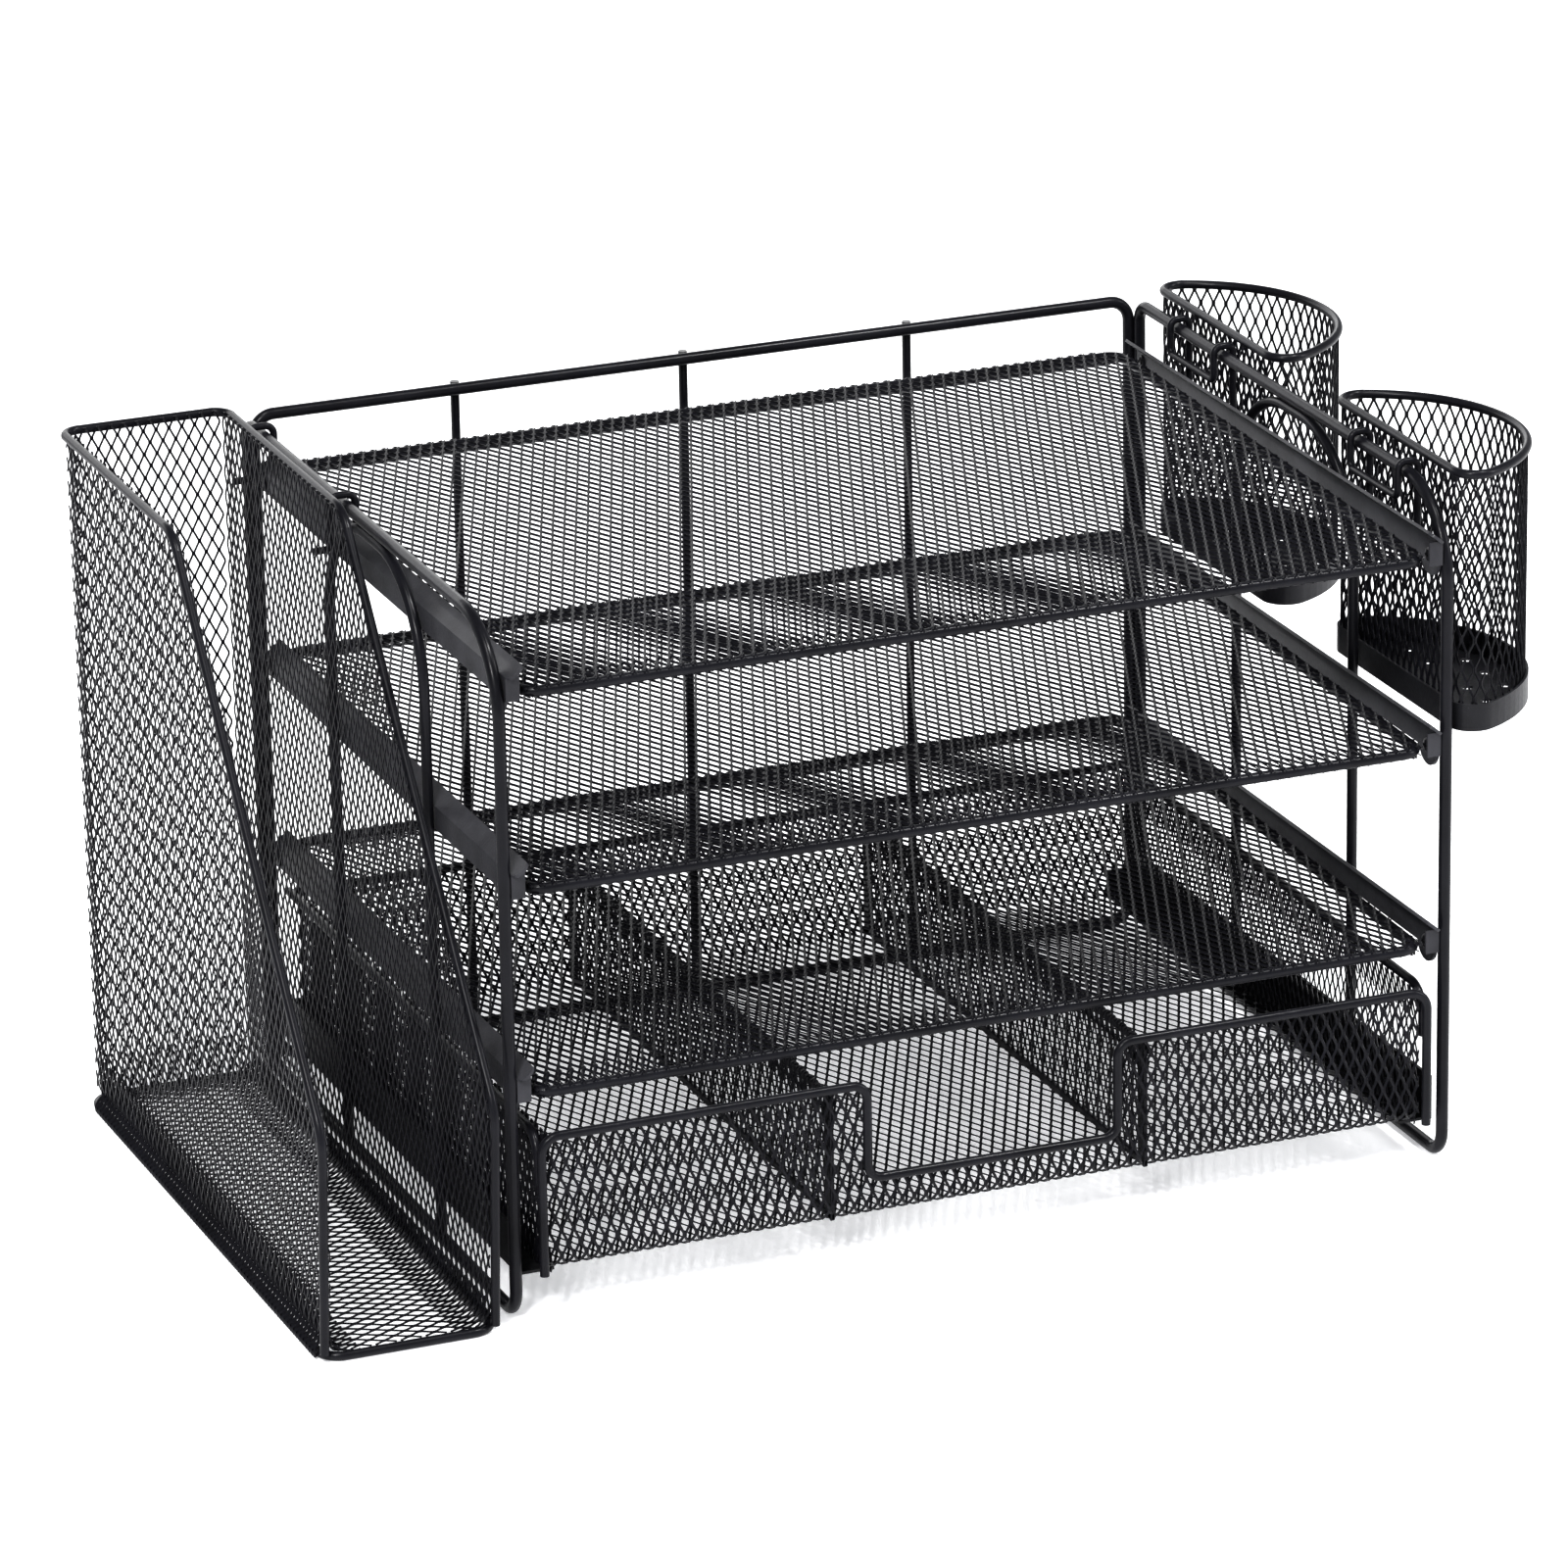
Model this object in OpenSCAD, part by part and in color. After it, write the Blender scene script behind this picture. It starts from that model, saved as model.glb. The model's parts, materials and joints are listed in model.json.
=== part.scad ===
// Desk organizer made of bent wire and expanded metal mesh.
// Three letter trays, a sliding drawer with dividers, a file holder hung on
// the left rail and two pen cups hung on the right rail.
// Millimetres, +Z up, front towards -Y, standing on Z = 0.
// The origin is under the middle of the whole object.

/* [Main section] */
// Distance between the two side frames, centre to centre
main_w = 320; // [300:1:340]
// Depth between the front and back posts, centre to centre
main_d = 237; // [228:1:245]
// Height of the side top rails, at the centre of the wire
rail_z = 226; // [222:1:234]
// Wire diameter of the side frames and the back frame
frame_wire = 4; // [3.4:0.2:4.4]
// Wire diameter of the side arches
arch_wire = 3.5; // [3:0.1:3.8]
// Wire diameter of the three upright bars at the back
bar_wire = 3; // [2.5:0.1:3.4]
// Place of the middle upright bar, to the side of the middle
bar_mid_x = -4.5; // [-10:0.5:10]
// Distance from one upright bar to the next
bar_step = 81; // [60:1:90]
// Bend radius where the front posts turn into the side rails
front_bend = 30; // [20:1:32]
// Bend radius at the other corners of the side frames
corner_bend = 8; // [6:0.5:12]

/* [Letter trays] */
// Height of the top tray's front wire
tray_top_z = 205.5; // [203:0.5:206]
// Height of the middle tray's front wire
tray_mid_z = 141.5; // [130:0.5:150]
// Height of the bottom tray's front wire
tray_low_z = 74.5; // [74:0.5:82]
// Wire diameter around the trays
tray_wire = 3.5; // [3:0.1:3.6]
// How much higher a tray's back wire is than its front wire
tray_rise = 4; // [1:0.5:5]

/* [Drawer] */
// Height of the drawer's rim, at the centre of the wire
drawer_rim_z = 61.5; // [55:0.5:62]
// Lowest point of the drawer
drawer_floor_z = 15; // [14.8:0.1:16]
// Wire diameter of the drawer's rim
drawer_wire = 3; // [2.4:0.1:3.2]
// Width of the finger dip in the drawer's front
dip_w = 86; // [60:1:100]
// Depth of the finger dip
dip_h = 32; // [20:1:34]
// Distance of each divider from the middle
divider_x = 54; // [50:1:70]

/* [File holder] */
// Width of the file holder, between wire centres
holder_w = 56; // [50:1:75]
// Height of the file holder
holder_h = 235; // [232:1:250]
// Length of the level top edge of the file holder's sides
holder_top_len = 116; // [100:1:130]
// Height of the upright front edge of the file holder
holder_lip_h = 76; // [60:1:90]
// Wire diameter of the file holder's rim
holder_wire = 3; // [2.4:0.1:3.2]

/* [Pen cups] */
// Radius of a cup's round side
cup_r = 51; // [46:0.5:52]
// Height of a cup
cup_h = 87; // [70:1:110]
// How far a cup's rim stands above the rail's centre
cup_rim_up = 6; // [5:0.5:8]
// Centre of the rear cup along the rail
cup_rear_y = 68; // [66:0.5:70]
// Centre of the front cup along the rail
cup_front_y = -72; // [-73:0.5:-68]
// Wire diameter of the cup rims
cup_wire = 3; // [2.4:0.1:3.2]
// Wire diameter of the hooks
hook_wire = 2.4; // [2:0.1:2.6]

/* [Hidden] */
$fn = 48;
eps = 0.02;
gap = 0.3;
sheet = 0.8;
plate = 1;
wx = main_w / 2;
fy = -main_d / 2;
by = main_d / 2;
// The back frame sits behind the back posts and touches them.
bf_in = 3;
bf_x = wx - bf_in;
bf_y = by + sqrt(pow(frame_wire + eps, 2) - bf_in * bf_in);
bf_z = rail_z + 1;
// Side arches, in the plane of the side frames, under the rail.
arch_y0 = -50;
arch_y1 = 40;
arch_bend = 38;
arch_z = rail_z - frame_wire / 2 - arch_wire / 2 - eps;
// Tray sheets and their side rails.
web_x = wx - frame_wire / 2 - 0.1;
crease_up = 6.2;
lip_run = 4.9;
lip_rise = 4;
tray_x = wx - 8.6;
tray_y0 = fy + 0.5;
tray_y1 = by - 2.5;
tray_tilt = asin(tray_rise / (tray_y1 - tray_y0));
// Drawer.
dr_x = wx - 8;
dr_front = fy - 4.5;
dr_back = by - 2.2;
dr_front_in = dr_front + drawer_wire / 2 + sheet + 2 * eps;
guide_z0 = drawer_floor_z - 1.5;
guide_z1 = 28.5;
// File holder.
ho_x1 = -(wx + 9.6);
ho_x0 = ho_x1 - holder_w;
ho_back = by - 7.5;
ho_y_top = ho_back - holder_top_len;
ho_foot = fy - 7;
ho_lip = fy - 12.5;
ho_r = holder_wire / 2;
// Cups: a flat side next to the rail and a round side facing out.
cup_x = wx + frame_wire / 2 + gap + hook_wire + sheet / 2 + 2 * eps;
cup_in = 11;
cup_c = 7;
cup_a = acos((cup_in + cup_c) / (cup_r - cup_c));
cup_flat = (cup_r - cup_c) * sin(cup_a);
cup_top = rail_z + cup_rim_up;
cup_bot = cup_top + cup_wire / 2 - cup_h;
// The whole object is moved so that the origin is under its middle.
low_x = ho_x0 - ho_r;
high_x = cup_x + cup_r - cup_in + 1.5;
low_y = ho_lip - ho_r;
high_y = bf_y + frame_wire / 2 + bar_wire + eps;
shift = [-(low_x + high_x) / 2, -(low_y + high_y) / 2, 0];

function unit(v) = v / norm(v);
function side_of(v) = abs(v[2]) > 0.9 ? unit(cross([0, 1, 0], v)) : unit(cross([0, 0, 1], v));
function frame_at(x, y, z, p) = [
    [x[0], y[0], z[0], p[0]],
    [x[1], y[1], z[1], p[1]],
    [x[2], y[2], z[2], p[2]],
    [0, 0, 0, 1]
];
function at(v, i) = v[(i + len(v)) % len(v)];

// A straight round rod from a to b.
module rod(a, b, d) {
    v = unit(b - a);
    s = side_of(v);
    multmatrix(frame_at(s, cross(v, s), v, a)) cylinder(d = d, h = norm(b - a));
}

// A round wire along points p, with bend radius r[i] at point i. Where the
// straight parts do not run along an axis, they are a touch thinner than the
// bends and reach a little into them (slim and lap).
module wire(p, r, d, closed = false, slim = 0, lap = 0) {
    n = len(p);
    function dir(i) = unit(at(p, i + 1) - at(p, i));
    function bent(i) = closed || (i > 0 && i < n - 1);
    function turn(i) = acos(dir(i - 1) * dir(i));
    function cut(i) = bent(i) ? r[i] * tan(turn(i) / 2) : 0;
    for (i = [0 : n - (closed ? 1 : 2)])
        rod(p[i] + dir(i) * (cut(i) - (bent(i) ? lap : 0)),
            at(p, i + 1) - dir(i) * (cut((i + 1) % n) - (bent((i + 1) % n) ? lap : 0)), d - slim);
    for (i = [0 : n - 1]) if (bent(i)) {
        e = dir(i - 1);
        w = unit(cross(e, dir(i)));
        m = cross(w, e);
        c = p[i] - e * cut(i) + m * r[i];
        multmatrix(frame_at(-m, e, w, c))
            rotate_extrude(angle = turn(i)) translate([r[i], 0]) circle(d = d);
    }
}

// A flat sheet outline, given as [y, z] points, standing at x.
module sheet_yz(p, x, t) {
    translate([x, 0, 0]) rotate([90, 0, 90]) linear_extrude(t) polygon(p);
}

// A flat sheet outline, given as [x, z] points, standing at y.
module sheet_xz(p, y, t) {
    translate([0, y + t, 0]) rotate([90, 0, 0]) linear_extrude(t) polygon(p);
}

// ---- Main section ----

module side_frame(x) {
    z0 = frame_wire / 2;
    c = corner_bend;
    color("#1b1b1e") wire(
        [[x, fy, z0], [x, fy, rail_z], [x, by, rail_z], [x, by, z0]],
        [c, front_bend, c - 2, c], frame_wire, true);
}

module side_arch(x) {
    z0 = frame_wire + eps;
    color("#1b1b1e") wire(
        [[x, arch_y0, z0], [x, arch_y0, arch_z], [x, arch_y1, arch_z], [x, arch_y1, z0]],
        [0, arch_bend, arch_bend, 0], arch_wire);
}

module back_frame() {
    z0 = frame_wire / 2;
    color("#1b1b1e") wire(
        [[-bf_x, bf_y, z0], [-bf_x, bf_y, bf_z], [bf_x, bf_y, bf_z], [bf_x, bf_y, z0]],
        [8, 7, 7, 8], frame_wire, true);
}

// An upright behind the back frame, from its bottom wire to its top wire.
module back_bar(x) {
    y = bf_y + frame_wire / 2 + bar_wire / 2 + eps;
    color("#1b1b1e") rod([x, y, 0.6], [x, y, bf_z + 1.7], bar_wire);
}

// ---- Letter trays ----

// A tray's own frame: origin at the middle of its front wire.
module tray_place(z) {
    translate([0, tray_y0, z]) rotate([tray_tilt, 0, 0]) children();
}

module tray_rim(z) {
    l = tray_y1 - tray_y0;
    color("#1b1b1e") tray_place(z) wire(
        [[-tray_x, 0, 0], [tray_x, 0, 0], [tray_x, l, 0], [-tray_x, l, 0]],
        [6, 6, 6, 6], tray_wire, true);
}

// The mesh sheet, lying on the wire.
module tray_mesh(z) {
    l = tray_y1 - tray_y0;
    r = tray_wire / 2 + eps;
    w = tray_x + 0.4;
    color("#232327") tray_place(z)
        translate([-w, -0.6, r]) cube([2 * w, l + 1.2, sheet]);
}

// A side rail bent from sheet: upright web, slanted lip and front ears.
module tray_rail(z, s) {
    c = z + crease_up;
    y0 = fy - 0.8;
    y1 = tray_y1 - tray_wire / 2 - 0.4;
    a = atan2(lip_rise, lip_run);
    l = norm([lip_rise, lip_run]);
    color("#2a2a2e") mirror([s < 0 ? 1 : 0, 0, 0]) {
        // Upright web, with a round tab beside the front post.
        sheet_yz([[y0, c - 8], [y1, c - 7], [y1, c], [y0, c]], web_x - plate, plate);
        translate([web_x - plate, fy + 6.7, c - 6.5]) rotate([0, 90, 0])
            cylinder(r = 6.6, h = plate);
        // Slanted lip with a rounded front end.
        translate([web_x, 0, c]) rotate([0, a, 0]) mirror([1, 0, 0]) {
            translate([0, y0, -plate]) cube([l, y1 - y0, plate]);
            translate([l / 2, y0, -plate]) cylinder(r = l / 2, h = plate);
        }
        // Ear turned in behind the post, next to the tray's front wire.
        translate([web_x - 4.6, y0, c - 8]) cube([4.6, plate, 8]);
    }
}

// Rivet heads on both faces of the rails, near the front and back posts.
module tray_rivets(s) {
    color("#3a3a3e") mirror([s < 0 ? 1 : 0, 0, 0])
        for (z = [tray_top_z, tray_mid_z, tray_low_z], y = [fy + 6.7, by - 9]) {
            c = z + crease_up - (y < 0 ? 6.5 : 3.5);
            translate([web_x, y, c]) rotate([0, 90, 0]) cylinder(r = 2.3, h = 1.2);
            translate([web_x - plate - 1.2, y, c]) rotate([0, 90, 0]) cylinder(r = 2.3, h = 1.2);
        }
}

// ---- Drawer guides ----

// An angle rail on each side that the drawer's edges run on.
module drawer_guide(s) {
    y0 = fy + 3.5;
    y1 = by - 2.2;
    color("#2a2a2e") mirror([s < 0 ? 1 : 0, 0, 0]) {
        translate([web_x - plate, y0, guide_z0]) cube([plate, y1 - y0, guide_z1 - guide_z0]);
        translate([web_x - 12, y0, guide_z0]) cube([12, y1 - y0, plate]);
        translate([web_x - 12, y1 - plate, guide_z0]) cube([12, plate, 10]);
    }
}

// ---- Drawer ----

// Front wire with a dip in the middle, standing in front of the mesh.
module drawer_front_wire() {
    z0 = drawer_floor_z + 0.4;
    z1 = drawer_rim_z;
    d = dip_w / 2;
    b = z1 - dip_h;
    y = dr_front;
    color("#1b1b1e") wire(
        [[-dr_x, y, z0], [-dr_x, y, z1], [-d, y, z1], [-d, y, b],
         [d, y, b], [d, y, z1], [dr_x, y, z1], [dr_x, y, z0]],
        [0, 6, 5, 5, 5, 5, 6, 0], drawer_wire);
}

// Rim wire along one side, bent down behind the front wire.
module drawer_rim_side(s) {
    y0 = dr_front + drawer_wire + eps;
    z = drawer_rim_z - 0.2;
    x = s * dr_x;
    color("#1b1b1e") wire(
        [[x, y0, z - 16], [x, y0, z], [x, dr_back + drawer_wire / 2, z]], [0, 9, 0], drawer_wire);
}

// Rim wire along the back, between the two side wires.
module drawer_rim_back() {
    z = drawer_rim_z - 0.2;
    x = dr_x - drawer_wire / 2 - eps;
    color("#1b1b1e") rod([-x, dr_back, z], [x, dr_back, z], drawer_wire);
}

module drawer_floor() {
    x = dr_x - drawer_wire / 2 - eps - sheet - 0.01;
    y0 = dr_front_in + 0.02;
    y1 = dr_back - drawer_wire / 2 - sheet - 0.04;
    color("#232327") translate([-x, y0, drawer_floor_z]) cube([2 * x, y1 - y0, sheet]);
}

module drawer_front() {
    z0 = drawer_floor_z;
    z1 = drawer_rim_z;
    d = dip_w / 2;
    b = z1 - dip_h;
    x = dr_x + 0.5;
    y = dr_front + drawer_wire / 2 + eps;
    w = dr_x - drawer_wire / 2 - eps - sheet - 0.01;
    color("#232327") sheet_xz(
        [[-w, z0], [w, z0], [w, z1], [d, z1], [d, b], [-d, b], [-d, z1], [-w, z1]],
        y, sheet);
}

module drawer_side(s) {
    y0 = dr_front + drawer_wire / 2 + eps;
    y1 = dr_back - drawer_wire / 2 - eps;
    x = dr_x - drawer_wire / 2 - eps - sheet;
    color("#232327") mirror([s < 0 ? 1 : 0, 0, 0])
        translate([x, y0, drawer_floor_z]) cube([sheet, y1 - y0, drawer_rim_z - drawer_floor_z]);
}

module drawer_back() {
    x = dr_x - drawer_wire / 2 - eps - sheet - 0.01;
    y = dr_back - drawer_wire / 2 - eps - sheet;
    color("#232327") translate([-x, y, drawer_floor_z])
        cube([2 * x, sheet, drawer_rim_z - drawer_floor_z]);
}

module drawer_divider(s) {
    y0 = dr_front_in + 0.04;
    y1 = dr_back - drawer_wire / 2 - sheet - 0.06;
    z0 = drawer_floor_z + sheet + 0.01;
    color("#232327") translate([s * divider_x - sheet / 2, y0, z0])
        cube([sheet, y1 - y0, drawer_rim_z - 3 - z0]);
}

// ---- File holder ----

// Rim wire: up the left front edge, round the back and down the right one.
module holder_rim() {
    z0 = holder_wire + eps;
    z1 = holder_h - ho_r;
    y = ho_back;
    a = ho_x0;
    b = ho_x1;
    color("#1b1b1e") wire(
        [[a, ho_foot, z0], [a, ho_lip, holder_lip_h], [a, ho_y_top, z1], [a, y, z1],
         [b, y, z1], [b, ho_y_top, z1], [b, ho_lip, holder_lip_h], [b, ho_foot, z0]],
        [0, 18, 14, 6, 6, 14, 18, 0], holder_wire, slim = 0.06, lap = 0.4);
}

// Wire around the foot, lying on the desk.
module holder_foot() {
    z = ho_r;
    color("#1b1b1e") wire(
        [[ho_x0, ho_foot, z], [ho_x1, ho_foot, z], [ho_x1, ho_back, z], [ho_x0, ho_back, z]],
        [7, 7, 7, 7], holder_wire, true);
}

// One side panel, just inside the rim wire.
module holder_side(s) {
    x = s < 0 ? ho_x0 + ho_r + eps : ho_x1 - ho_r - eps - sheet;
    y1 = ho_back - ho_r - eps;
    t = holder_h - 0.6;
    color("#232327") sheet_yz(
        [[ho_foot - 0.4, holder_wire + eps], [y1, holder_wire + eps], [y1, t], [ho_y_top + 4, t], [ho_y_top - 6, t - 7.5],
         [ho_lip + 1.6, holder_lip_h + 5], [ho_lip - 0.4, holder_lip_h - 5]],
        x, sheet);
}

module holder_back() {
    x0 = ho_x0 + ho_r + sheet + 2 * eps;
    x1 = ho_x1 - ho_r - sheet - 2 * eps;
    color("#232327") translate([x0, ho_back - ho_r - eps - sheet, holder_wire + eps])
        cube([x1 - x0, sheet, holder_h - 0.6 - holder_wire - eps]);
}

module holder_floor() {
    x0 = ho_x0 + ho_r + sheet + 2 * eps;
    x1 = ho_x1 - ho_r - sheet - 2 * eps;
    y1 = ho_back - ho_r - sheet - 2 * eps;
    color("#232327") translate([x0, ho_foot - 0.4, holder_wire + eps])
        cube([x1 - x0, y1 - ho_foot + 0.4, sheet]);
}

// A wire hook from the right panel over the rail and down its inner side.
module holder_hook(y) {
    r = hook_wire / 2;
    x0 = ho_x1 - ho_r + eps;
    x1 = -(wx + frame_wire / 2 + 2 + r);
    x2 = -(wx - frame_wire / 2 - gap - r);
    z1 = rail_z + frame_wire / 2 + gap + r;
    color("#1b1b1e") wire(
        [[x0, y, rail_z - 14], [x1, y, rail_z - 14], [x1, y, z1], [x2, y, z1],
         [x2, y, rail_z - 8]],
        [0, 2.2, 3, 3, 0], hook_wire);
}

// ---- Pen cups ----

// Outline of a cup, moved in by o: flat side at x = 0, round side to +X.
function cup_outline(o) = concat(
    [for (i = [0 : 19]) let (a = 180 + i * (180 - cup_a) / 19)
        [cup_c, -cup_flat] + (cup_c - o) * [cos(a), sin(a)]],
    [for (i = [1 : 33]) let (a = -cup_a + i * 2 * cup_a / 33)
        [-cup_in, 0] + (cup_r - o) * [cos(a), sin(a)]],
    [for (i = [1 : 19]) let (a = cup_a + i * (180 - cup_a) / 19)
        [cup_c, cup_flat] + (cup_c - o) * [cos(a), sin(a)]]
);

module cup_place(y) {
    translate([cup_x, y, 0]) children();
}

// The straight part and the round side are a touch thinner than the two
// tight bends and reach a little into them.
module cup_rim(y) {
    slim = cup_wire - 0.06;
    over = 0.5;
    color("#1b1b1e") cup_place(y) translate([0, 0, cup_top]) {
        rod([0, -cup_flat - 0.4, 0], [0, cup_flat + 0.4, 0], slim);
        for (s = [-1, 1]) translate([cup_c, s * cup_flat, 0])
            rotate([0, 0, s < 0 ? 180 : cup_a])
                rotate_extrude(angle = 180 - cup_a) translate([cup_c, 0]) circle(d = cup_wire);
        translate([-cup_in, 0, 0]) rotate([0, 0, -cup_a - over])
            rotate_extrude(angle = 2 * (cup_a + over)) translate([cup_r, 0]) circle(d = slim);
    }
}

module cup_wall(y) {
    z1 = cup_top - cup_wire / 2 - eps;
    z0 = cup_bot + 1.1;
    color("#232327") cup_place(y) translate([0, 0, z0]) linear_extrude(z1 - z0) difference() {
        polygon(cup_outline(-sheet / 2));
        polygon(cup_outline(sheet / 2));
    }
}

// Shallow pressed pan under the mesh, with round holes in its floor.
module cup_pan(y) {
    color("#2a2a2e") cup_place(y) translate([0, 0, cup_bot]) difference() {
        union() {
            linear_extrude(1) polygon(cup_outline(-1.35));
            linear_extrude(9) difference() {
                polygon(cup_outline(-1.35));
                polygon(cup_outline(-0.45));
            }
        }
        for (i = [0 : 2]) for (j = [-2 : 2])
            if (abs(j) < 2 || i < 2) translate([8 + 12 * i, j * 14 + (i % 2) * 3, -1])
                cylinder(r = 2, h = 3);
    }
}

// One hook wire: up the flat side, over the rail, along its inner side and back.
module cup_hook(y) {
    r = hook_wire / 2;
    x0 = wx + frame_wire / 2 + gap + r;
    x1 = wx - frame_wire / 2 - gap - r;
    zt = rail_z + frame_wire / 2 + gap + r;
    zb = rail_z - 8.2;
    za = rail_z - 22;
    d = 17.5;
    b = 2.6;
    color("#1b1b1e") translate([0, y, 0]) wire(
        [[x0, -d, za], [x0, -d, zt], [x1, -d, zt], [x1, -d, zb],
         [x1, d, zb], [x1, d, zt], [x0, d, zt], [x0, d, za]],
        [0, b, b, b, b, b, b, 0], hook_wire);
}

translate(shift) {
    side_frame(-wx);  // side_frame_left
    side_frame(wx);  // side_frame_right
    side_arch(-wx);  // side_arch_left
    side_arch(wx);  // side_arch_right
    back_frame();
    back_bar(bar_mid_x - bar_step);  // back_bar_left
    back_bar(bar_mid_x);  // back_bar_middle
    back_bar(bar_mid_x + bar_step);  // back_bar_right
    tray_rim(tray_top_z);  // tray_top_rim
    tray_mesh(tray_top_z);  // tray_top_mesh
    tray_rail(tray_top_z, -1);  // tray_top_rail_left
    tray_rail(tray_top_z, 1);  // tray_top_rail_right
    tray_rim(tray_mid_z);  // tray_mid_rim
    tray_mesh(tray_mid_z);  // tray_mid_mesh
    tray_rail(tray_mid_z, -1);  // tray_mid_rail_left
    tray_rail(tray_mid_z, 1);  // tray_mid_rail_right
    tray_rim(tray_low_z);  // tray_low_rim
    tray_mesh(tray_low_z);  // tray_low_mesh
    tray_rail(tray_low_z, -1);  // tray_low_rail_left
    tray_rail(tray_low_z, 1);  // tray_low_rail_right
    tray_rivets(-1);  // tray_rivets_left
    tray_rivets(1);  // tray_rivets_right
    drawer_guide(-1);  // drawer_guide_left
    drawer_guide(1);  // drawer_guide_right
    drawer_front_wire();
    drawer_rim_side(-1);  // drawer_rim_left
    drawer_rim_side(1);  // drawer_rim_right
    drawer_rim_back();
    drawer_floor();
    drawer_front();
    drawer_back();
    drawer_side(-1);  // drawer_side_left
    drawer_side(1);  // drawer_side_right
    drawer_divider(-1);  // drawer_divider_left
    drawer_divider(1);  // drawer_divider_right
    holder_rim();
    holder_foot();
    holder_side(-1);  // holder_side_left
    holder_side(1);  // holder_side_right
    holder_back();
    holder_floor();
    holder_hook(by - 17);  // holder_hook_rear
    holder_hook(by - 97.5);  // holder_hook_front
    cup_rim(cup_rear_y);  // rear_cup_rim
    cup_wall(cup_rear_y);  // rear_cup_wall
    cup_pan(cup_rear_y);  // rear_cup_pan
    cup_hook(cup_rear_y);  // rear_cup_hook
    cup_rim(cup_front_y);  // front_cup_rim
    cup_wall(cup_front_y);  // front_cup_wall
    cup_pan(cup_front_y);  // front_cup_pan
    cup_hook(cup_front_y);  // front_cup_hook
}
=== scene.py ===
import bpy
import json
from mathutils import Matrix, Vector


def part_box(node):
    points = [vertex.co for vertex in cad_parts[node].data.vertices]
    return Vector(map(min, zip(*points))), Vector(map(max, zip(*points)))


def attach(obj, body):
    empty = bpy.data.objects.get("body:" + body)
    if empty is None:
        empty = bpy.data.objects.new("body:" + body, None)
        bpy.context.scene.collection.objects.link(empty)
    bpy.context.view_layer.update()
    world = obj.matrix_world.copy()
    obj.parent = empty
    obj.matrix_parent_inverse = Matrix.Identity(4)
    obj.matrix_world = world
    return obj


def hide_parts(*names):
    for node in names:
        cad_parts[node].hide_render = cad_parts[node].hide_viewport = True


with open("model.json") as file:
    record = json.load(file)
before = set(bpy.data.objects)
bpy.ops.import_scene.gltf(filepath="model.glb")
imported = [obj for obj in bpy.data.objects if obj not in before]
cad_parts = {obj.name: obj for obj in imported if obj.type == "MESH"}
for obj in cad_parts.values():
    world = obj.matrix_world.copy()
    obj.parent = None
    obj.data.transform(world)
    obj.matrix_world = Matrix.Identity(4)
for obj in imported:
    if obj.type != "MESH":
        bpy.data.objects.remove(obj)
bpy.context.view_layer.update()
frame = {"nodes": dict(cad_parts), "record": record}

import json
import math

import bpy
import numpy as np
from mathutils import Matrix, Vector

MM = 0.001

# ---------------------------------------------------------------- places
# Everything is worked out in millimetres from the middle of the main frame,
# read off the CAD nodes' boxes, and moved into the row frame at the end.


def cad(node):
    """Lowest and highest corner of a CAD node, in mm, in the row frame."""
    lo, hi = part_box(node)
    return np.array(lo) / MM, np.array(hi) / MM


left_lo, left_hi = cad("side_frame_left")
right_hi = cad("side_frame_right")[1]
SHIFT = np.array([(left_lo[0] + right_hi[0]) / 2, (left_lo[1] + left_hi[1]) / 2, 0.0])


def box(node):
    """The same, with the middle of the main frame as the origin."""
    lo, hi = cad(node)
    return lo - SHIFT, hi - SHIFT


LEVELS = ("top", "mid", "low")
SIDES = (("left", -1), ("right", 1))
X, Y, Z = (1, 0, 0), (0, 1, 0), (0, 0, 1)

# ---------------------------------------------------------------- mesh sizes
# pitch: half the short and half the long diagonal of a diamond. size: width
# and thickness of a strand. bond: half the length of a bond. All in mm.
TRAY_MESH = dict(pitch=(1.99, 4.48), size=(0.76, 0.36), tilt=1.0, skew=0.056)
DRAWER_PAN_MESH = dict(size=(0.82, 0.44), tilt=0.65)
HOLDER_SIDE_MESH = dict(pitch=(2.3, 4.1), size=(0.62, 0.38), tilt=-0.1, bond=0.5)
HOLDER_BACK_MESH = dict(pitch=(2.19, 3.98), size=(0.64, 0.42), bond=0.45)
HOLDER_FOOT_MESH = dict(pitch=(1.5, 2.7), size=(0.8, 0.5), bond=0.4)
CUP_PITCH = (2.15, 4.9)
CUP_MESH = dict(size=(0.7, 0.44), tilt=0.5)

# ---------------------------------------------------------------- materials


GRAIN = 0.00012  # depth of the coat's orange peel, in m
FINE_GRAIN = 0.00008  # the same on the thin strands
DUST = 0.5  # how much of a dust speck covers the coat
DARK_TONE, PALE_TONE = 0.72, 1.6  # the base colour's range
ROUGH_BELOW, ROUGH_ABOVE = 0.07, 0.09  # the roughness's range


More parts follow.
